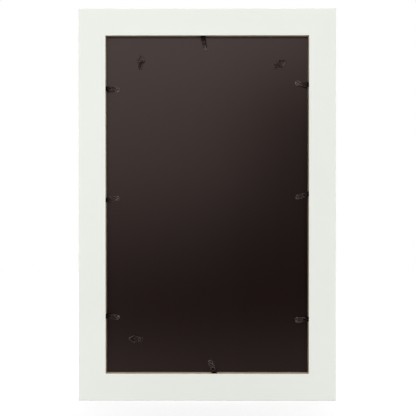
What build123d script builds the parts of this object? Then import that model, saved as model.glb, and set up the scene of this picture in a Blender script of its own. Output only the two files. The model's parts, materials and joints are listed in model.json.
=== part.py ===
from build123d import *
import os
from math import asin, cos, degrees, radians, sin, sqrt, tan

# Collage photo frame in portrait: four mitred rails round a glazed stack of sheets,
# a backing board held by steel tabs that bend, and ring hangers riveted to the board.
# X points right as seen from behind, Y from the wall into the room, and Z up.
# The origin is the middle of the top rail's back face, in the plane that meets the wall.

# Sheets held by the frame
picture_width = 300.0
picture_height = 500.0
glazing_thickness = 2.0
mat_thickness = 1.4
insert_thickness = 0.3
board_thickness = 3.0

# Windows of the mat, for upright and lying photos of one size
window_short = 95.0
window_long = 145.0
window_gap = 20.0
bevel_angle = 45.0

# Rails
rebate_clearance = 1.0
rail_width = 40.0
frame_depth = 20.0
lip_width = 6.0
lip_thickness = 6.0
outer_edge_radius = 1.2
sight_edge_radius = 1.2

# V-shaped nails across the mitres
nail_leg = 5.0
nail_sheet = 0.7
nail_height = 9.0
nail_sink = 2.0
nail_leg_angle = 55.0
nail_places = (16.0, 37.0)

# Bending tabs: a barbed root in the rail near its back, and a blade that slopes down to the board
tab_length = 19.8
tab_width = 7.0
tab_sheet = 0.6
tab_bend_line = 2.0
tab_bend_gap = 0.05
tab_tip_radius = 3.0
tab_rise = 5.2
tab_foot = 3.2
tab_hole = 3.8
tab_hole_place = 7.0
tab_slot_length = 3.4
tab_slot_width = 2.6
tab_slot_place = 14.0
root_shoulder_depth = 3.0
root_neck_width = 5.0
root_neck_depth = 5.5
root_barb_width = 6.8
root_point_depth = 9.5
root_point_width = 1.6

# Each tab: name, wall, end of the wall that its place is measured from (1 is the upper or
# right end, 0 the middle), distance from there in mm, and clockwise lean in degrees
tab_rows = [
    ("left_upper", "left", 1, -78.5, 0.0),
    ("left_middle", "left", 0, 7.0, -9.0),
    ("left_lower", "left", -1, 85.5, 9.0),
    ("right_upper", "right", 1, -73.0, 12.0),
    ("right_middle", "right", 0, 16.5, -18.0),
    ("right_lower", "right", -1, 81.0, -7.5),
    ("top", "top", 0, -6.5, -12.0),
    ("bottom", "bottom", 0, 11.0, -22.0),
]

# Hangers: a folded strap on a rivet, with a three-cornered ring in its loop
strap_width = 6.4
strap_sheet = 0.8
strap_tail = 5.0
strap_tail_radius = 2.6
strap_loop_place = 6.0
strap_leaf_gap = 0.1
strap_fall_angle = 40.0
strap_bend_radius = 1.0
strap_board_gap = 0.05
wire_radius = 0.9
wire_bend_steps = 3
ring_fit = 0.08
ring_side_play = 0.5
ring_corner_radius = 1.4
ring_side_angle = 60.0
ring_rest_gap = 0.1
rivet_radius = 1.5
rivet_fit = 0.05
rivet_head_radius = 2.5
rivet_head_height = 1.3
rivet_head_gap = 0.1
rivet_flare_radius = 2.5
rivet_flare_depth = 1.0

# Each hanger: name, nearest side and end of the board, distance of the rivet in from them
# in mm, and the turn of the strap, clockwise from straight up, in degrees
hanger_rows = [
    ("top_left", -1, 1, 50.0, 42.5, 7.0),
    ("top_right", 1, 1, 47.5, 43.0, 60.0),
    ("bottom_left", -1, -1, 48.5, 49.5, -90.0),
]

# Sizes that follow
opening_width = picture_width + 2 * rebate_clearance
opening_height = picture_height + 2 * rebate_clearance
outer_width = opening_width + 2 * rail_width
outer_height = opening_height + 2 * rail_width
face_width = rail_width + lip_width
rebate_depth = frame_depth - lip_thickness
centre_z = rail_width / 2 - outer_height / 2

# Depth of each sheet's back face, stacked from the lip towards the wall
glazing_back = rebate_depth - glazing_thickness
mat_back = glazing_back - mat_thickness
insert_back = mat_back - insert_thickness
board_back = insert_back - board_thickness

tab_middle = tab_sheet / 2
tab_axis_height = tab_rise + tab_middle
tab_root_end = tab_bend_line - tab_middle - tab_bend_gap

loop_bore = wire_radius + ring_fit
loop_middle = loop_bore + strap_sheet / 2
loop_height = strap_board_gap + strap_sheet + loop_bore
lower_leaf = strap_board_gap + strap_sheet / 2
upper_leaf = lower_leaf + strap_sheet + strap_leaf_gap
strap_top = upper_leaf + strap_sheet / 2

ring_half_run = strap_width / 2 + ring_side_play
ring_half_base = ring_half_run + ring_corner_radius / tan(radians(ring_side_angle / 2))
ring_height = ring_half_base * tan(radians(ring_side_angle))
ring_tip_centre = ring_height - ring_corner_radius / cos(radians(ring_side_angle))
ring_reach = ring_tip_centre + ring_corner_radius / cos(radians(ring_side_angle / wire_bend_steps))
ring_rest_tilt = degrees(asin((loop_height - wire_radius - ring_rest_gap) / ring_reach))


def upright(sketch):
    """Stands a sketch up: its first axis stays X and its second becomes Z."""
    return Plane.XZ * sketch


def through(sketch, low, high):
    """A prism of the sketch from one height to another along Z."""
    return Pos(0, 0, low) * extrude(sketch, high - low)


def on_board(x, z, turn):
    """Plane on the board's back: its X points along the turn, its Z away from the board."""
    direction = (sin(radians(turn)), 0, cos(radians(turn)))
    return Plane(origin=(x, board_back, z), x_dir=direction, z_dir=(0, -1, 0))


def rail(half_length, half_across):
    """Upper rail of a frame with these half sizes: an L profile cut at 45 degrees."""
    profile = make_face(FilletPolyline(
        (0, half_across, 0),
        (0, half_across, frame_depth),
        (0, half_across - face_width, frame_depth),
        (0, half_across - face_width, rebate_depth),
        (0, half_across - rail_width, rebate_depth),
        (0, half_across - rail_width, 0),
        radius=[outer_edge_radius, outer_edge_radius, sight_edge_radius, 0, 0, 0],
        close=True,
    ))
    bar = extrude(profile, half_length, dir=(1, 0, 0), both=True)
    mitre = Polygon(
        (-half_length, half_across),
        (-half_length + face_width, half_across - face_width),
        (half_length - face_width, half_across - face_width),
        (half_length, half_across),
        align=None,
    )
    return bar & through(mitre, 0, frame_depth)


def corner_nail(corner_x, corner_z, place):
    """One V-shaped nail across the mitre at a corner of the frame, place from its tip."""
    inward = Plane(
        origin=(corner_x * (outer_width / 2 - place / sqrt(2)), nail_sink,
                centre_z + corner_z * (outer_height / 2 - place / sqrt(2))),
        x_dir=(-corner_x, 0, -corner_z),
        z_dir=(0, 1, 0),
    )
    reach = nail_leg * cos(radians(nail_leg_angle))
    spread = nail_leg * sin(radians(nail_leg_angle))
    vee = trace(Polyline((reach, -spread), (0, 0), (reach, spread)), nail_sheet)
    return inward * extrude(vee, nail_height, dir=(0, 0, 1))


def sheet(back, thickness):
    """A full-size sheet of the stack."""
    return Pos(0, back + thickness / 2, centre_z) * Box(picture_width, thickness, picture_height)


def mat_windows():
    """Cutters of the five windows: the bevel opens towards the glazing."""
    upright_x = (window_short + window_gap) / 2
    outer_row = (window_short + window_long) / 2 + window_gap
    windows = [(x, z, window_short, window_long)
               for z in (outer_row, -outer_row) for x in (-upright_x, upright_x)]
    windows.append((0, 0, window_long, window_short))
    cutters = []
    for x, z, width, height in windows:
        plane = Plane(origin=(x, mat_back, centre_z + z), x_dir=(1, 0, 0), z_dir=(0, 1, 0))
        cutters.append(plane * extrude(Rectangle(width, height), mat_thickness, taper=-bevel_angle))
    return cutters


def tab_blade():
    """Loose end of a tab: it turns about its rounded edge, slopes down and ends in a foot."""
    spine = Polyline((tab_bend_line, tab_axis_height), (tab_length - tab_foot, tab_middle),
                     (tab_length, tab_middle))
    profile = trace(spine, tab_sheet) + Pos(tab_bend_line, tab_axis_height) * Circle(tab_middle)
    strip = extrude(upright(profile), tab_width / 2, both=True)
    back = tab_bend_line - tab_middle
    outline = make_face(FilletPolyline(
        (back, -tab_width / 2), (tab_length, -tab_width / 2),
        (tab_length, tab_width / 2), (back, tab_width / 2),
        radius=[0, tab_tip_radius, tab_tip_radius, 0], close=True,
    ))
    cuts = Pos(tab_hole_place, 0) * Circle(tab_hole / 2)
    cuts += Pos(tab_slot_place, 0) * SlotOverall(tab_slot_length, tab_slot_width)
    return strip & through(outline - cuts, -tab_sheet, tab_length)


def tab_root():
    """Fixed end of a tab: a short ledge over the board and a barbed point inside the rail."""
    half = [
        (tab_root_end, tab_width / 2),
        (-root_shoulder_depth, tab_width / 2),
        (-root_shoulder_depth, root_neck_width / 2),
        (-root_neck_depth, root_neck_width / 2),
        (-root_neck_depth, root_barb_width / 2),
        (-root_point_depth, root_point_width / 2),
    ]
    mirrored = [(x, -y) for x, y in reversed(half)]
    return through(Polygon(*half, *mirrored, align=None), tab_rise, tab_rise + tab_sheet)


def tab_plane(wall, end, along, lean):
    """Place of a tab: where it leaves the wall, turned inward and then by its lean."""
    side_x, side_z, inward = {
        "left": (-1, 0, 90), "right": (1, 0, -90), "top": (0, 1, 180), "bottom": (0, -1, 0),
    }[wall]
    half_wall = (opening_width if side_x == 0 else opening_height) / 2
    place = end * half_wall + along
    x = side_x * opening_width / 2 if side_x else place
    z = side_z * opening_height / 2 if side_z else place
    return on_board(x, centre_z + z, inward + lean)


def hanger_strap():
    """Sheet strap folded round the ring's base, with both leaves on the rivet."""
    lower = Line((-strap_tail, lower_leaf), (strap_loop_place, lower_leaf))
    loop = CenterArc((strap_loop_place, loop_height), loop_middle, -90, 180 + strap_fall_angle)
    leaving = loop @ 1
    fall_length = (leaving.Y - upper_leaf) / tan(radians(strap_fall_angle))
    upper = FilletPolyline(leaving, (leaving.X - fall_length, upper_leaf), (-strap_tail, upper_leaf),
                           radius=strap_bend_radius)
    folded = extrude(upright(trace([lower, loop, upper], strap_sheet)), strap_width / 2, both=True)
    far = strap_loop_place + loop_bore + 2 * strap_sheet
    outline = make_face(FilletPolyline(
        (-strap_tail, -strap_width / 2), (far, -strap_width / 2),
        (far, strap_width / 2), (-strap_tail, strap_width / 2),
        radius=[strap_tail_radius, 0, 0, strap_tail_radius], close=True,
    ))
    return folded & through(outline - Circle(rivet_radius + rivet_fit), 0, 2 * loop_height)


def hanger_ring():
    """Wire ring bent in short steps: its base lies in the strap's loop, its tip on the board."""
    corners = [
        (ring_corner_radius, -ring_half_run, 180, 180 - ring_side_angle),
        (ring_tip_centre, 0, -ring_side_angle, 2 * ring_side_angle),
        (ring_corner_radius, ring_half_run, ring_side_angle, 180 - ring_side_angle),
    ]
    points = [(0, 0)]
    for x, y, start, turn in corners:
        step = turn / wire_bend_steps
        reach = ring_corner_radius / cos(radians(step / 2))
        for i in range(wire_bend_steps):
            angle = radians(start + step * (i + 0.5))
            points.append((x + reach * cos(angle), y + reach * sin(angle)))
    path = Polyline(*points, close=True)
    section = Plane(origin=path @ 0, z_dir=path % 0) * Circle(wire_radius)
    wire = sweep(section, path, transition=Transition.RIGHT)
    return Pos(strap_loop_place, 0, loop_height) * (Rot(0, ring_rest_tilt, 0) * wire)


def rivet():
    """Domed rivet: its flared end is drawn into the board's inner face."""
    under = strap_top + rivet_head_gap
    crown = under + rivet_head_height
    inner = -board_thickness
    dome = TangentArc((0, crown), (rivet_head_radius, under), tangent=(1, 0))
    edge = Polyline(
        (rivet_head_radius, under), (rivet_radius, under), (rivet_radius, inner + rivet_flare_depth),
        (rivet_flare_radius, inner), (0, inner), (0, crown),
    )
    return revolve(upright(make_face([dome, edge])), Axis.Z)


# Hardware that is placed many times
blade = tab_blade()
root = tab_root()
strap = hanger_strap()
ring = hanger_ring()
pin = rivet()
tab_planes = {name: tab_plane(*row) for name, *row in tab_rows}
hanger_planes = {
    name: on_board(side * (picture_width / 2 - inset_x),
                   centre_z + end * (picture_height / 2 - inset_z), turn)
    for name, side, end, inset_x, inset_z, turn in hanger_rows
}

roots = [plane * root for plane in tab_planes.values()]
rivets = [plane * pin for plane in hanger_planes.values()]
nails = [corner_nail(x, z, place) for x in (-1, 1) for z in (-1, 1) for place in nail_places]

parts = {}
rail_rows = [
    ("top", 0, outer_width, outer_height),
    ("right", 90, outer_height, outer_width),
    ("bottom", 180, outer_width, outer_height),
    ("left", 270, outer_height, outer_width),
]
facing = Plane(origin=(0, 0, centre_z), x_dir=(-1, 0, 0), z_dir=(0, 1, 0))
for name, turn, length, across in rail_rows:
    blank = Pos(0, 0, centre_z) * Rot(0, turn, 0) * Pos(0, 0, -centre_z) * (
        facing * rail(length / 2, across / 2))
    parts["rail_" + name] = blank - roots - nails

parts["corner_nails"] = Compound(nails)
parts["glazing"] = sheet(glazing_back, glazing_thickness)
parts["mat"] = sheet(mat_back, mat_thickness) - mat_windows()
parts["insert_sheet"] = sheet(insert_back, insert_thickness)
parts["backing_board"] = sheet(board_back, board_thickness) - rivets
parts["tab_roots"] = Compound(roots)
parts["hanger_rivets"] = Compound(rivets)
for name, plane in tab_planes.items():
    parts["tab_" + name] = plane * blade
for name, plane in hanger_planes.items():
    parts["hanger_strap_" + name] = plane * strap
    parts["hanger_ring_" + name] = plane * ring

os.makedirs("parts", exist_ok=True)
for name, part in parts.items():
    export_step(part, f"parts/{name}.step")
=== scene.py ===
# %% [markdown]
# # The back of a white collage photo frame
# This lesson dresses a finished CAD model. The solids bring every measure with them, so
# Blender has to add what a solid can't hold: lacquer, raw fibreboard, a satin backing board,
# blackened steel, glass and card, and the light that shows them. X runs right as seen from
# behind, Y runs from the wall into the room, and Z runs up.

# %% Load the frame
import json
from math import asin, cos, pi, radians, sin, tan

import bpy
from mathutils import Matrix, Vector


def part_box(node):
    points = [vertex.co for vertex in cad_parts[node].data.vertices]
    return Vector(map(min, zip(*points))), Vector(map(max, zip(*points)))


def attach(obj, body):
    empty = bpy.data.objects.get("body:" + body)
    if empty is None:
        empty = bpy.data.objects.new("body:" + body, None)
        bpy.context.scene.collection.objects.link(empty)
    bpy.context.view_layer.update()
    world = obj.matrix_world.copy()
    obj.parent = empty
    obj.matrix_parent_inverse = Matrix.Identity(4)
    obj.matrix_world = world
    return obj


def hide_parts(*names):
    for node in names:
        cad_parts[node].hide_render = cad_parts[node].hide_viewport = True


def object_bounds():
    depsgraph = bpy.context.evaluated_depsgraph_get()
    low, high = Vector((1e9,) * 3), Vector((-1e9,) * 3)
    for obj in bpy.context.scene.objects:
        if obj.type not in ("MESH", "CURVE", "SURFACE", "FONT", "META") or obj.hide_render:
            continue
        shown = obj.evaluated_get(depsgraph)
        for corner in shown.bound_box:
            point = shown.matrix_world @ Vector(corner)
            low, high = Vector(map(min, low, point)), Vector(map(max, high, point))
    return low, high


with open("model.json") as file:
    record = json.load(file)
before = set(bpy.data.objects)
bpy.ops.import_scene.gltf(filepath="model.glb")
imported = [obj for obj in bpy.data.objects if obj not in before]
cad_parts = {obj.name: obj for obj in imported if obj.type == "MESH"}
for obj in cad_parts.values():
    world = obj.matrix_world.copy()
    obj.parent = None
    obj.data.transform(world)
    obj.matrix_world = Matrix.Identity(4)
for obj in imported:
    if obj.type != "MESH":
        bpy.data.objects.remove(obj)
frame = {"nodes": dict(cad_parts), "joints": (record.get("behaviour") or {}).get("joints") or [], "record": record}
cad_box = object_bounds()
nodes = frame["nodes"]

# %% [markdown]
# ## Helpers
# Colours are easy to read off a picture as hex values, but a shader works with linear light,
# so one function turns the first into the second.
# A material is a small graph of nodes. One function adds a node and sets it up. Each of the
# node's inputs takes a value, another node's output, or simply another node, which then
# stands for its first output. That keeps a graph readable as a list of steps.

# %% Helpers for colours and nodes
MM = 0.001


def linear(hex_colour):
    """An sRGB hex colour as linear red, green, blue and alpha, by the standard's own curve."""
    shares = [int(hex_colour[i:i + 2], 16) / 255 for i in (1, 3, 5)]
    return [s / 12.92 if s <= 0.04045 else ((s + 0.055) / 1.055) ** 2.4 for s in shares] + [1.0]


def feed(tree, node, inputs):
    """Fills inputs, by socket name or number, with values, outputs or nodes."""
    for socket, source in inputs.items():
        if isinstance(source, bpy.types.Node):
            source = source.outputs[0]
        if isinstance(source, bpy.types.NodeSocket):
            tree.links.new(source, node.inputs[socket])
        else:
            node.inputs[socket].default_value = source


def add(tree, kind, inputs=None, **properties):
    """Adds a node, sets its properties and feeds its inputs."""
    node = tree.nodes.new(kind)
    for name, setting in properties.items():
        setattr(node, name, setting)
    feed(tree, node, inputs or {})
    return node


def start_material(name):
    """A new material, its node tree, its Principled shader and the place on the piece in metres."""
    material = bpy.data.materials.new(name)
    material.use_nodes = True
    tree = material.node_tree
    place = add(tree, "ShaderNodeTexCoord").outputs["Object"]
    return material, tree, tree.nodes["Principled BSDF"], place


print("white lacquer in linear light:", [round(share, 3) for share in linear("#E6E9E2")])

# %% [markdown]
# ## Sizes that the finishes need
# The raw fibreboard lies only on the walls of the rebate, inside the opening that the rails
# leave. Only the play between the board and the walls isn't in any box, so that one is
# typed in.

# %% Measure the opening
board_play = 1.0 * MM

board_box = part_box("backing_board")
frame_centre = (cad_box[0] + cad_box[1]) / 2
opening_half_x = board_box[1].x + board_play
opening_half_z = (board_box[1].z - board_box[0].z) / 2 + board_play
lip_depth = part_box("glazing")[1].y
print("opening %.0f x %.0f mm, lip at %.1f mm" % (
    2 * opening_half_x / MM, 2 * opening_half_z / MM, lip_depth / MM))

# %% [markdown]
# ## White lacquer on fibreboard
# The rails are medium density fibreboard, milled to an L and sprayed with a satin lacquer.
# A sprayed coat levels into shallow dimples, called orange peel, about 2 mm across. It
# could be painted as an image, but a noise texture needs no image and has no seams.
# The cutter that made the rebate left it raw: beige board, with a mist of lacquer that
# fades over the first millimetre. The mask asks where a point is, so one material serves
# all four rails.

# %% Colour the lacquer and the raw board
tone_size = 90.0 * MM
fuzz_size = 0.9 * MM       # real fibres are 0.1 mm, drawn coarser so that they show

lacquer, tree, shader, place = start_material("satin_white_lacquer_on_fibreboard")
tone = add(tree, "ShaderNodeTexNoise", {"Vector": place, "Scale": 1 / tone_size, "Detail": 3.0})
white = add(tree, "ShaderNodeMixRGB", {
    "Fac": tone, "Color1": linear("#E4E7E0"), "Color2": linear("#E8EBE4")})
fuzz = add(tree, "ShaderNodeTexNoise", {"Vector": place, "Scale": 1 / fuzz_size, "Detail": 4.0})
raw = add(tree, "ShaderNodeMixRGB", {
    "Fac": fuzz, "Color1": linear("#B8A084"), "Color2": linear("#DECBAE")})
print("coloured", lacquer.name)

# %% Find the raw walls of the rebate
wall_margin = 0.2 * MM     # the mask reaches this far into the wall
lip_margin = 0.1 * MM
mist_start = 0.1 * MM
mist_depth = 1.2 * MM

offset = add(tree, "ShaderNodeVectorMath", {0: place, 1: frame_centre}, operation="SUBTRACT")
reach = add(tree, "ShaderNodeVectorMath", {0: offset}, operation="ABSOLUTE")
across = add(tree, "ShaderNodeSeparateXYZ", {0: reach})
depth = add(tree, "ShaderNodeSeparateXYZ", {0: place}).outputs["Y"]
within_x = add(tree, "ShaderNodeMath", {
    0: across.outputs["X"], 1: opening_half_x + wall_margin}, operation="LESS_THAN")
within_z = add(tree, "ShaderNodeMath", {
    0: across.outputs["Z"], 1: opening_half_z + wall_margin}, operation="LESS_THAN")
behind_lip = add(tree, "ShaderNodeMath", {
    0: depth, 1: lip_depth + lip_margin}, operation="LESS_THAN")
inside = add(tree, "ShaderNodeMath", {0: within_x, 1: within_z}, operation="MULTIPLY")
walls = add(tree, "ShaderNodeMath", {0: inside, 1: behind_lip}, operation="MULTIPLY")
ragged = add(tree, "ShaderNodeMath", {0: fuzz, 1: mist_depth, 2: -mist_depth / 2},
             operation="MULTIPLY_ADD")
ragged_depth = add(tree, "ShaderNodeMath", {0: depth, 1: ragged})
clear_of_mist = add(tree, "ShaderNodeMapRange", {
    "Value": ragged_depth, "From Min": mist_start, "From Max": mist_depth})
raw_share = add(tree, "ShaderNodeMath", {0: walls, 1: clear_of_mist}, operation="MULTIPLY")
print("raw from %.1f to %.1f mm deep" % (mist_start / MM, lip_depth / MM))

# %% Finish the lacquer
# Satin lacquer scatters a reflection softly; raw fibreboard hardly reflects at all
satin_roughness = 0.38
raw_roughness = 0.85
peel_size = 3.0 * MM       # real orange peel is nearer 2 mm, drawn coarser so that it shows
peel_depth = 0.02 * MM
peel_strength = 0.25

colour = add(tree, "ShaderNodeMixRGB", {"Fac": raw_share, "Color1": white, "Color2": raw})
gloss = add(tree, "ShaderNodeMapRange", {
    "Value": raw_share, "To Min": satin_roughness, "To Max": raw_roughness})
peel = add(tree, "ShaderNodeTexNoise", {"Vector": place, "Scale": 1 / peel_size, "Detail": 1.0})
dimples = add(tree, "ShaderNodeBump", {
    "Strength": peel_strength, "Distance": peel_depth, "Height": peel})
feed(tree, shader, {"Base Color": colour, "Roughness": gloss, "Normal": dimples})
print("made", lacquer.name, "with", len(tree.nodes), "nodes")

# %% [markdown]
# ## Dark hardboard
# The backing board is hardboard: wood fibre pressed flat, and coated dark brown. Its face is
# smooth enough to mirror a lamp as a wide soft glow, and the brown coat warms that glow.
# Fibres under the coat give it a faint mottle, and the coating roller leaves faint long
# streaks in its shine. Two noise textures do this: a fine round one for the colour, and one
# that is stretched along the board for the roughness.

# %% Make the hardboard
mottle_size = 4.0 * MM
streak_width = 12.0 * MM
streak_stretch = 30.0
board_roughness = 0.28
streak_swing = 0.005
fibre_size = 1.2 * MM      # real fibres are finer, drawn coarser so that they show
fibre_depth = 0.02 * MM
fibre_strength = 0.1
noise_low = 0.3            # noise seldom leaves the span between these two, so that
noise_high = 0.7           # span is stretched over the whole change of colour or gloss

hardboard, tree, shader, place = start_material("brown_coated_hardboard")
mottle = add(tree, "ShaderNodeTexNoise", {"Vector": place, "Scale": 1 / mottle_size, "Detail": 5.0})
brown = add(tree, "ShaderNodeMapRange", {
    "Value": mottle, "From Min": noise_low, "From Max": noise_high})
colour = add(tree, "ShaderNodeMixRGB", {
    "Fac": brown, "Color1": linear("#0D0403"), "Color2": linear("#120603")})
stretched = add(tree, "ShaderNodeVectorMath", {0: place, 1: (1, 1, 1 / streak_stretch)},
                operation="MULTIPLY")
streaks = add(tree, "ShaderNodeTexNoise", {
    "Vector": stretched, "Scale": 1 / streak_width, "Detail": 1.0})
gloss = add(tree, "ShaderNodeMapRange", {
    "Value": streaks, "From Min": noise_low, "From Max": noise_high,
    "To Min": board_roughness - streak_swing, "To Max": board_roughness + streak_swing})
fibres = add(tree, "ShaderNodeTexNoise", {"Vector": place, "Scale": 1 / fibre_size, "Detail": 3.0})
relief = add(tree, "ShaderNodeBump", {
    "Strength": fibre_strength, "Distance": fibre_depth, "Height": fibres})
feed(tree, shader, {"Base Color": colour, "Roughness": gloss, "Normal": relief,
                    "Specular Tint": linear("#FFE4DE")})
print("made", hardboard.name, "with", len(tree.nodes), "nodes")

# %% [markdown]
# ## Blackened steel
# Tabs, straps and rivets are stamped from thin sheet steel and blackened in a hot bath. The
# bath leaves a dark oxide that still mirrors like metal, so the shader is all metal with a
# very dark colour. Handling rubs the oxide off, and bare steel shows there as bright lines
# along the edges and as small spots. A Bevel node bends the surface's direction near an
# edge, so where that direction leaves the real one, an edge is close. Noise breaks the line
# up.
# A tab is lifted by its tip, so the oxide is thinnest there. Close to the rail no finger
# reaches, so no bare steel shows there, and the rail's shade on the tab is painted in as a
# near-black colour. The distance from the opening's nearest wall tells both.

# %% Find the rubbed edges
rub_size = 1.6 * MM
edge_reach = 0.45 * MM
edge_samples = 6
edge_start = 0.98          # cosine of the bend at which an edge starts to show
edge_full = 0.8            # cosine of the bend at which it shows in full
edge_wear = 0.4

blackened, tree, shader, place = start_material("blackened_stamped_steel")
rub = add(tree, "ShaderNodeTexNoise", {"Vector": place, "Scale": 1 / rub_size, "Detail": 4.0})
bent_way = add(tree, "ShaderNodeBevel", {"Radius": edge_reach}, samples=edge_samples)
real_way = add(tree, "ShaderNodeNewGeometry").outputs["Normal"]
same_way = add(tree, "ShaderNodeVectorMath", {0: bent_way, 1: real_way}, operation="DOT_PRODUCT")
edge = add(tree, "ShaderNodeMapRange", {
    "Value": same_way.outputs["Value"], "From Min": edge_start, "From Max": edge_full})
rubbed = add(tree, "ShaderNodeMath", {0: edge, 1: edge_wear, 2: rub}, operation="MULTIPLY_ADD")
print("edges show within %.2f mm" % (edge_reach / MM))

# %% Find the tips and roots of the tabs
# Each of these lengths is a distance from the opening's nearest wall
# Between the next two lengths the painted shade near the rail fades out and rubbing may start
shade_and_shelter_end = 2.0 * MM
lit_and_handled_start = 11.0 * MM
grip_start = 14.5 * MM
grip_end = 17.0 * MM
tab_end = 21.0 * MM

tip_wear = 0.1

offset = add(tree, "ShaderNodeVectorMath", {0: place, 1: frame_centre}, operation="SUBTRACT")
reach = add(tree, "ShaderNodeVectorMath", {0: offset}, operation="ABSOLUTE")
inward = add(tree, "ShaderNodeVectorMath", {
    0: (opening_half_x, 0, opening_half_z), 1: reach}, operation="SUBTRACT")
from_wall = add(tree, "ShaderNodeSeparateXYZ", {0: inward})
nearest = add(tree, "ShaderNodeMath", {
    0: from_wall.outputs["X"], 1: from_wall.outputs["Z"]}, operation="MINIMUM")
grip = add(tree, "ShaderNodeMapRange", {
    "Value": nearest, "From Min": grip_start, "From Max": grip_end})
on_tab = add(tree, "ShaderNodeMath", {0: nearest, 1: tab_end}, operation="LESS_THAN")
tip = add(tree, "ShaderNodeMath", {0: grip, 1: on_tab}, operation="MULTIPLY")
handled = add(tree, "ShaderNodeMath", {0: tip, 1: tip_wear, 2: rubbed}, operation="MULTIPLY_ADD")
# 0 at the rail, where shade is painted and no bare steel shows, up to 1 in the open
out_of_shade_and_reach = add(tree, "ShaderNodeMapRange", {
    "Value": nearest, "From Min": shade_and_shelter_end, "From Max": lit_and_handled_start})
print("tabs are rubbed from %.1f mm off the wall" % (grip_start / MM))

# %% Colour the steel
cloud_size = 3.0 * MM
oxide_thins = 0.62         # wear at which bare steel starts to show
oxide_gone = 0.78          # wear at which nothing else shows
steel_smooth = 0.4
steel_rough = 0.55

thin = add(tree, "ShaderNodeMapRange", {
    "Value": handled, "From Min": oxide_thins, "From Max": oxide_gone})
bare = add(tree, "ShaderNodeMath", {0: thin, 1: out_of_shade_and_reach}, operation="MULTIPLY")
cloud = add(tree, "ShaderNodeTexNoise", {"Vector": place, "Scale": 1 / cloud_size, "Detail": 3.0})
oxide = add(tree, "ShaderNodeMixRGB", {
    "Fac": cloud, "Color1": linear("#2A2321"), "Color2": linear("#3A3130")})
# Painted shade: near the rail the oxide darkens to #140F0D, standing in for the rail's shadow on the tab's root
oxide_with_painted_shade = add(tree, "ShaderNodeMixRGB", {
    "Fac": out_of_shade_and_reach, "Color1": linear("#140F0D"), "Color2": oxide})
colour = add(tree, "ShaderNodeMixRGB", {"Fac": bare, "Color1": oxide_with_painted_shade, "Color2": linear("#A89790")})
gloss = add(tree, "ShaderNodeMapRange", {
    "Value": cloud, "To Min": steel_smooth, "To Max": steel_rough})
feed(tree, shader, {"Base Color": colour, "Roughness": gloss, "Metallic": 1.0})
print("made", blackened.name, "with", len(tree.nodes), "nodes")

# %% [markdown]
# ## Drawn wire
# The three rings are bent from round steel wire, blackened too. Wire that was drawn through
# a die is smoother than stamped sheet, so it is brighter, with a fine speckle where the
# oxide is thin. Noise at half a millimetre gives that speckle to colour and roughness.

# %% Make the wire
speckle_size = 0.5 * MM
wire_smooth = 0.22
wire_rough = 0.36

wire, tree, shader, place = start_material("blackened_drawn_wire")
speckle = add(tree, "ShaderNodeTexNoise", {
    "Vector": place, "Scale": 1 / speckle_size, "Detail": 3.0})
colour = add(tree, "ShaderNodeMixRGB", {
    "Fac": speckle, "Color1": linear("#3A302C"), "Color2": linear("#5A4D46")})
gloss = add(tree, "ShaderNodeMapRange", {
    "Value": speckle, "To Min": wire_smooth, "To Max": wire_rough})
feed(tree, shader, {"Base Color": colour, "Roughness": gloss, "Metallic": 1.0})
print("made", wire.name, "with", len(tree.nodes), "nodes")

# %% [markdown]
# ## Float glass
# The front isn't in the photograph, but it is what the frame is for. Float glass is poured
# on molten tin, so it is perfectly flat, clear, and a trace green. Hands leave smudges, which
# blur its mirror image here and there. Lamps can't aim at the card through a pane that
# bends light, so for rays that carry light to a surface the pane counts as open.

# %% Make the glass
smudge_size = 40.0 * MM
smudge_start = 0.5         # the noise under this leaves the glass clean
smudge_full = 0.8
smudge_roughness = 0.03
glass_ior = 1.52
glass_tint = linear("#FCFDFC")

glass, tree, shader, place = start_material("clear_float_glass")
smudge = add(tree, "ShaderNodeTexNoise", {"Vector": place, "Scale": 1 / smudge_size, "Detail": 4.0})
gloss = add(tree, "ShaderNodeMapRange", {
    "Value": smudge, "From Min": smudge_start, "From Max": smudge_full, "To Max": smudge_roughness})
feed(tree, shader, {"Base Color": glass_tint, "Roughness": gloss, "IOR": glass_ior,
                    "Transmission Weight": 1.0})
ray = add(tree, "ShaderNodeLightPath")
for_light = add(tree, "ShaderNodeMath", {
    0: ray.outputs["Is Shadow Ray"], 1: ray.outputs["Is Diffuse Ray"]}, operation="MAXIMUM")
open_pane = add(tree, "ShaderNodeBsdfTransparent", {"Color": glass_tint})
pane = add(tree, "ShaderNodeMixShader", {0: for_light, 1: shader, 2: open_pane})
feed(tree, tree.nodes["Material Output"], {"Surface": pane})
print("made", glass.name)

# %% [markdown]
# ## Mat card
# A mat is white card that frames the photographs. Its windows are cut on a slant, and the
# cut shows the whiter core. Two materials could do that, but the slope of the surface
# already tells skin from core, so one is enough. Paper fibres give the skin a fine tooth.

# %% Make the mat card
tooth_size = 0.8 * MM      # real paper tooth is 0.2 mm, drawn coarser so that it shows
tooth_depth = 0.03 * MM
tooth_strength = 0.3
card_roughness = 0.85
flat_enough = 0.9          # a face that points more than this along Y is skin

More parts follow.
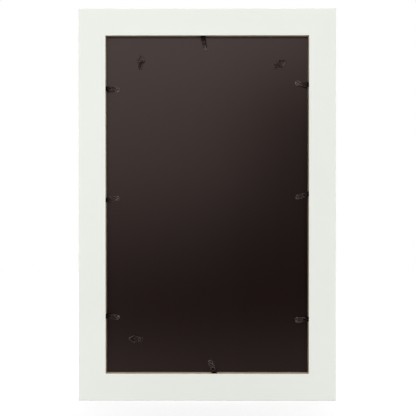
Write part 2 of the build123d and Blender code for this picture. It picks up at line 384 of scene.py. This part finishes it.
card, tree, shader, place = start_material("white_mat_card")
surface = add(tree, "ShaderNodeNewGeometry")
slope = add(tree, "ShaderNodeSeparateXYZ", {0: surface.outputs["True Normal"]})
facing = add(tree, "ShaderNodeMath", {0: slope.outputs["Y"]}, operation="ABSOLUTE")
cut = add(tree, "ShaderNodeMath", {0: facing, 1: flat_enough}, operation="LESS_THAN")
tooth = add(tree, "ShaderNodeTexNoise", {"Vector": place, "Scale": 1 / tooth_size, "Detail": 3.0})
skin = add(tree, "ShaderNodeMixRGB", {
    "Fac": tooth, "Color1": linear("#E9E6DE"), "Color2": linear("#F1EEE7")})
colour = add(tree, "ShaderNodeMixRGB", {"Fac": cut, "Color1": skin, "Color2": linear("#F6F5F2")})
relief = add(tree, "ShaderNodeBump", {
    "Strength": tooth_strength, "Distance": tooth_depth, "Height": tooth})
feed(tree, shader, {"Base Color": colour, "Normal": relief, "Roughness": card_roughness})
print("made", card.name)

# %% [markdown]
# ## Paper and zinc
# A plain grey sheet lies behind the windows where the photographs go. Paper is cloudy, since
# its pulp settles unevenly, and soft noise shows that. The nails across the corners are
# zinc plated. Zinc sets in flat crystals called spangle, which a Voronoi texture draws.

# %% Make the paper
pulp_size = 6.0 * MM
paper_roughness = 0.9

paper, tree, shader, place = start_material("plain_insert_paper")
pulp = add(tree, "ShaderNodeTexNoise", {"Vector": place, "Scale": 1 / pulp_size, "Detail": 6.0})
colour = add(tree, "ShaderNodeMixRGB", {
    "Fac": pulp, "Color1": linear("#B9B5AC"), "Color2": linear("#C6C2BA")})
feed(tree, shader, {"Base Color": colour, "Roughness": paper_roughness})
print("made", paper.name)

# %% Make the zinc plate
spangle_size = 2.0 * MM
zinc_roughness = 0.35

zinc, tree, shader, place = start_material("zinc_plated_steel")
spangle = add(tree, "ShaderNodeTexVoronoi", {"Vector": place, "Scale": 1 / spangle_size})
grey = add(tree, "ShaderNodeSeparateColor", {0: spangle.outputs["Color"]})
colour = add(tree, "ShaderNodeMixRGB", {
    "Fac": grey, "Color1": linear("#A9ABAC"), "Color2": linear("#C4C6C6")})
feed(tree, shader, {"Base Color": colour, "Roughness": zinc_roughness, "Metallic": 1.0})
print("made", zinc.name)

# %% [markdown]
# ## Dress the solids
# A solid whose shape is right stays and only changes its material. The record names a
# slot for each solid, so a table from slot to material dresses them all in one loop.

# %% Assign the materials
finishes = {
    "white_lacquered_fibreboard": lacquer,
    "brown_hardboard": hardboard,
    "black_steel": blackened,
    "dark_steel_wire": wire,
    "clear_glass": glass,
    "white_mat_card": card,
    "plain_paper": paper,
    "zinc_steel": zinc,
}
for subpart in frame["record"]["subparts"]:
    for material_slot in nodes[subpart["node"]].material_slots:
        material_slot.material = finishes[subpart["material_slot"]]

# %% [markdown]
# ## Softened edges
# No stamped or milled edge is perfectly sharp, and a thin bright line along it is how the
# eye reads a real object. A Bevel modifier rounds the sharp edges without touching the
# mesh. The imported faces don't share corners, so a Weld modifier joins them first. The
# solids bring the direction of each face with them, so flat faces stay flat.
# Two faces in exactly the same place confuse a renderer, and the glass lies on the card, so
# a Displace modifier draws the glass in by a hair.

# %% Round the sharp edges
sharp_angle = radians(35)
same_corner = 0.002 * MM
edge_segments = 2
stamped_edge = 0.08 * MM
milled_edge = 0.12 * MM
glass_edge = 0.4 * MM
glass_gap = 0.03 * MM


def soften(solid, width):
    """Rounds the sharp edges of a solid by the width, with modifiers only."""
    weld = solid.modifiers.new("join_corners", "WELD")
    weld.merge_threshold = same_corner
    bevel = solid.modifiers.new("round_edges", "BEVEL")
    bevel.width = width
    bevel.segments = edge_segments
    bevel.limit_method = "ANGLE"
    bevel.angle_limit = sharp_angle


stamped = [name for name in nodes if name.startswith(("tab_", "hanger_strap"))]
rails = [name for name in nodes if name.startswith("rail_")]
for name in stamped:
    soften(nodes[name], stamped_edge)
for name in rails:
    soften(nodes[name], milled_edge)
soften(nodes["glazing"], glass_edge)
hair_gap = nodes["glazing"].modifiers.new("hair_gap", "DISPLACE")
hair_gap.mid_level = 0.0
hair_gap.strength = -glass_gap
print("softened", len(stamped), "stamped solids,", len(rails), "rails and the glass")

# %% [markdown]
# ## Clean rivets
# At the top of each rivet's dome the solid's mesh has one face without any area, because two
# of its corners meet in the pole. Welding those corners would spoil the smooth shading round
# the pole, so geometry nodes only delete the empty faces and leave the rest as it came.

# %% Drop the empty faces
empty_area = (0.001 * MM) ** 2

tree = bpy.data.node_groups.new("drop_empty_faces", "GeometryNodeTree")
for way in ("INPUT", "OUTPUT"):
    tree.interface.new_socket("Geometry", in_out=way, socket_type="NodeSocketGeometry")
rivets = add(tree, "NodeGroupInput")
area = add(tree, "GeometryNodeInputMeshFaceArea")
empty = add(tree, "FunctionNodeCompare", {0: area, 1: empty_area}, operation="LESS_THAN")
kept = add(tree, "GeometryNodeDeleteGeometry", {"Geometry": rivets, "Selection": empty},
           domain="FACE", mode="ONLY_FACE")
add(tree, "NodeGroupOutput", {"Geometry": kept})
nodes["hanger_rivets"].modifiers.new("drop_empty_faces", "NODES").node_group = tree
print("kept every face over %.0e square millimetres" % (empty_area / MM ** 2))

# %% [markdown]
# ## The rings, bent from round wire
# The CAD ring turns its corners in three short steps. A real one is bent round a pin, so
# its corners are arcs. The ring is a closed path of three straights and three arcs with a
# circle carried along it. A curve with a bevel could do that too, but a mesh gives even
# rows of faces round the tight bends. Its sizes repeat those of the CAD ring.

# %% Draw the path of the wire
bend_radius = 1.4 * MM
half_run = 3.7 * MM
side_angle = radians(60)
bend_steps = 10

half_base = half_run + bend_radius / tan(side_angle / 2)
tip_centre = half_base * tan(side_angle) - bend_radius / cos(side_angle)


def ring_path():
    """Points along the wire's middle and the outward direction at each, in the ring's plane."""
    corners = [
        (bend_radius, -half_run, pi, pi - side_angle),
        (tip_centre, 0, -side_angle, 2 * side_angle),
        (bend_radius, half_run, side_angle, pi - side_angle),
    ]
    for x, y, start, turn in corners:
        for i in range(bend_steps + 1):
            angle = start + turn * i / bend_steps
            outward = Vector((cos(angle), sin(angle), 0))
            yield Vector((x, y, 0)) + bend_radius * outward, outward


print("the path has", len(list(ring_path())), "points")

# %% Sweep the wire along it
wire_radius = 0.9 * MM
wire_sides = 16


def ring_mesh(name):
    """The wire swept along its path as a closed tube of quads."""
    up = Vector((0, 0, 1))
    rows = list(ring_path())
    points = []
    for middle, outward in rows:
        for i in range(wire_sides):
            angle = 2 * pi * i / wire_sides
            points.append(middle + wire_radius * (cos(angle) * outward + sin(angle) * up))
    faces = []
    for row in range(len(rows)):
        this_row = row * wire_sides
        next_row = (row + 1) % len(rows) * wire_sides
        for i in range(wire_sides):
            j = (i + 1) % wire_sides
            faces.append((this_row + i, next_row + i, next_row + j, this_row + j))
    mesh = bpy.data.meshes.new(name)
    mesh.from_pydata(points, [], faces)
    mesh.shade_smooth()
    mesh.materials.append(wire)
    return mesh


print("a ring is %.1f mm wide" % (2 * (half_run + bend_radius + wire_radius) / MM))

# %% [markdown]
# ## Hang the rings
# The flip joint of each ring lies on the middle of the wire's base. Its axis and that of
# the swivel joint give two directions of the ring, and their cross product the third. At
# rest the ring leans from the strap's loop down to the board.

# %% Place the rings
rest_drop = 0.83 * MM      # how far the ring's tip leans down from the loop to the board
cad_step = radians(20)     # half of one of the CAD ring's short steps, three to a corner

joints = {joint["name"]: joint for joint in frame["joints"]}
cad_tip = tip_centre + bend_radius / cos(cad_step)
rest_tilt = asin(rest_drop / cad_tip)
for corner in ("top_left", "top_right", "bottom_left"):
    flip = joints[f"ring_{corner}_flip"]
    out = Vector(joints[f"hanger_{corner}_swivel"]["axis"])
    side = -Vector(flip["axis"])
    turn = Matrix((side.cross(out), side, out)).transposed().to_4x4()
    ring = bpy.data.objects.new(f"ring_wire_{corner}", ring_mesh(f"ring_wire_{corner}"))
    bpy.context.scene.collection.objects.link(ring)
    lean = Matrix.Rotation(rest_tilt, 4, "Y")
    ring.matrix_world = Matrix.Translation(flip["pos_m"]) @ turn @ lean
    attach(ring, f"ring_{corner}")
    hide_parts(f"hanger_ring_{corner}")
    print(ring.name, "has", len(ring.data.polygons), "faces")

# %% [markdown]
# ## Floor
# A studio table is covered with white paper. The floor is a real surface that takes the
# frame's shadow. For rays from the camera it also glows, so that it reads as paper white
# without any more light on the frame. The glow grows with the distance, so that the
# shadow shows near the frame and the paper's edge doesn't show at all. Mirror images see
# the glow too, but for them it fades towards the photographer and to the right, where the
# room is dim.

# %% Lay the floor
floor_width = 3.4
floor_length = 2.2
floor_front = 0.5
glow_near = 0.72
glow_far = 0.86
glow_near_reach = 0.35
glow_far_reach = 1.0
dim_side = -0.3            # metres past the frame at which mirror images see no glow
bright_side = 0.3          # and at which they see the whole of it
fade_slant = 0.4           # each metre to the right takes this much off that distance
table_roughness = 0.9
table_specular = 0.2

bpy.ops.mesh.primitive_plane_add(size=1, location=(0, floor_length / 2 - floor_front, cad_box[0].z))
floor = bpy.context.object
floor.name = "floor"
floor.scale = (floor_width, floor_length, 1)
table_paper, tree, shader, _ = start_material("white_table_paper")
spot = add(tree, "ShaderNodeNewGeometry").outputs["Position"]
away = add(tree, "ShaderNodeVectorMath", {0: spot, 1: (0, 0, cad_box[0].z)}, operation="DISTANCE")
glow = add(tree, "ShaderNodeMapRange", {
    "Value": away.outputs["Value"], "From Min": glow_near_reach, "From Max": glow_far_reach,
    "To Min": glow_near, "To Max": glow_far})
along = add(tree, "ShaderNodeVectorMath", {
    0: spot, 1: (-fade_slant, 1, 0)}, operation="DOT_PRODUCT")
lit = add(tree, "ShaderNodeMapRange", {
    "Value": along.outputs["Value"], "From Min": dim_side, "From Max": bright_side})
ray = add(tree, "ShaderNodeLightPath")
seen = add(tree, "ShaderNodeMath", {
    0: ray.outputs["Is Camera Ray"], 1: ray.outputs["Is Transmission Ray"]}, operation="MAXIMUM")
mirrored = add(tree, "ShaderNodeMath", {
    0: ray.outputs["Is Glossy Ray"], 1: lit}, operation="MULTIPLY")
shown = add(tree, "ShaderNodeMath", {0: seen, 1: mirrored}, operation="MAXIMUM")
strength = add(tree, "ShaderNodeMath", {0: shown, 1: glow}, operation="MULTIPLY")
feed(tree, shader, {"Base Color": linear("#8C8C8C"), "Roughness": table_roughness,
                    "Specular IOR Level": table_specular,
                    "Emission Color": linear("#FFFFFF"), "Emission Strength": strength})
floor.data.materials.append(table_paper)
print("floor at", round(floor.location.z, 3))

# %% [markdown]
# ## World
# The world is the backdrop: pure white for the camera. As a light it is weak, and stronger
# from above than from below. Behind the photographer the room is dim. The board mirrors
# that side, which is why it looks so dark, so mirror images see a white world beyond the
# frame and a dim one behind the camera. Steeply below, they see the lit ground at the
# photographer's feet, which brightens the pieces that lean that way. A direction's Y says
# how far it points past the frame, from -1 to 1, and its Z how far it points up.

# %% Light the world
ambient_above = 0.4
ambient_below = 0.08
dim_room = 0.008
horizon = 0.2              # Z within which the light from below turns into that from above
dim_until = -0.4           # Y up to which mirror images see the dim room
white_from = 0.3           # Y from which they see the white backdrop
ground_start = -0.35       # Z below which they start to see the lit ground
ground_full = -0.5         # Z below which they see nothing else

world = bpy.data.worlds.new("white_studio")
bpy.context.scene.world = world
world.use_nodes = True
tree = world.node_tree
way = add(tree, "ShaderNodeTexCoord").outputs["Generated"]
direction = add(tree, "ShaderNodeSeparateXYZ", {0: way})
ambient = add(tree, "ShaderNodeMapRange", {
    "Value": direction.outputs["Z"], "From Min": -horizon, "From Max": horizon,
    "To Min": ambient_below, "To Max": ambient_above})
room = add(tree, "ShaderNodeMapRange", {
    "Value": direction.outputs["Y"], "From Min": dim_until, "From Max": white_from,
    "To Min": dim_room, "To Max": 1.0})
ground = add(tree, "ShaderNodeMapRange", {
    "Value": direction.outputs["Z"], "From Min": ground_start, "From Max": ground_full})
mirrored = add(tree, "ShaderNodeMath", {0: room, 1: ground}, operation="MAXIMUM")
ray = add(tree, "ShaderNodeLightPath")
unseen = add(tree, "ShaderNodeMix", {0: ray.outputs["Is Glossy Ray"], 2: ambient, 3: mirrored})
seen = add(tree, "ShaderNodeMath", {
    0: ray.outputs["Is Camera Ray"], 1: ray.outputs["Is Transmission Ray"]}, operation="MAXIMUM")
strength = add(tree, "ShaderNodeMix", {0: seen, 2: unseen, 3: 1.0})
feed(tree, tree.nodes["Background"], {"Color": linear("#FFFFFF"), "Strength": strength})
print("world light", ambient_below, "from below and", ambient_above, "from above")

# %% [markdown]
# ## Lamps
# Flat work is lit from both sides at a slant, so that no lamp mirrors into the lens. Two low
# wide softboxes do that on the photographer's side, and light the white rails evenly.
# The satin board mirrors what stands behind the photographer. Three weak softboxes there
# make its glow, which is brightest at the top and left and fades downwards.
# The front has two softboxes at its sides and one above. A wide one overhead lights the
# table.

# %% Set the lamps
def softbox(name, place, width, height, radiance):
    """A soft lamp that faces the frame's middle. Radiance 1 is as bright as a white sheet."""
    lamp = bpy.data.lights.new(name, "AREA")
    lamp.shape = "RECTANGLE"
    lamp.size = width
    lamp.size_y = height
    lamp.energy = radiance * pi * width * height
    stand = bpy.data.objects.new(name, lamp)
    bpy.context.scene.collection.objects.link(stand)
    stand.location = frame_centre + Vector(place)
    stand.rotation_euler = (-Vector(place)).to_track_quat("-Z", "Y").to_euler()
    stand.visible_camera = False
    print(name, "%.1f W" % lamp.energy)


softbox("back_left_softbox", (-1.75, -1.7, 0.15), width=1.3, height=0.6, radiance=8.65)
softbox("back_right_softbox", (1.75, -1.7, 0.15), width=1.3, height=0.6, radiance=8.25)
softbox("glow_top_softbox", (-0.1, -2.0, 1.06), width=1.8, height=0.88, radiance=1.87)
softbox("glow_upper_left_softbox", (-0.5, -2.0, 0.34), width=1.5, height=0.62, radiance=1.12)
softbox("glow_lower_left_softbox", (-0.65, -2.0, -0.15), width=1.5, height=0.34, radiance=0.4)
softbox("front_left_softbox", (1.95, 0.9, 0.3), width=1.0, height=1.4, radiance=3.3)
softbox("front_right_softbox", (-1.95, 0.9, 0.3), width=1.0, height=1.4, radiance=3.3)
softbox("front_top_softbox", (0, 1.3, 1.5), width=2.4, height=1.0, radiance=3.3)
softbox("overhead_softbox", (0, 0, 1.9), width=2.4, height=2.4, radiance=1.0)

# %% [markdown]
# ## Camera
# The photograph looks straight at the back from a little under a metre, level with the
# middle of the frame. Its top edge is a trace wider than its bottom edge, so the camera
# nods down by a third of a degree. It also stands a few millimetres to the right, which
# sets the opening where the photograph has it between the rails. The lens then follows
# from how wide the picture is at the frame's back.

# %% Place the camera
camera_distance = 0.90
camera_right = 4.5 * MM
aim_right = 1.2 * MM
aim_down = 4.7 * MM
picture_width = 0.6169
sensor_width = 36.0

lens = bpy.data.cameras.new("camera")
lens.sensor_width = sensor_width
lens.lens = sensor_width * camera_distance / picture_width
camera = bpy.data.objects.new("camera", lens)
bpy.context.scene.collection.objects.link(camera)
camera.location = (camera_right, -camera_distance, frame_centre.z)
aim = Vector((aim_right, 0, frame_centre.z - aim_down)) - camera.location
camera.rotation_euler = aim.to_track_quat("-Z", "Y").to_euler()
bpy.context.scene.camera = camera
bpy.context.scene.view_settings.view_transform = "Standard"
print("lens %.1f mm" % lens.lens)
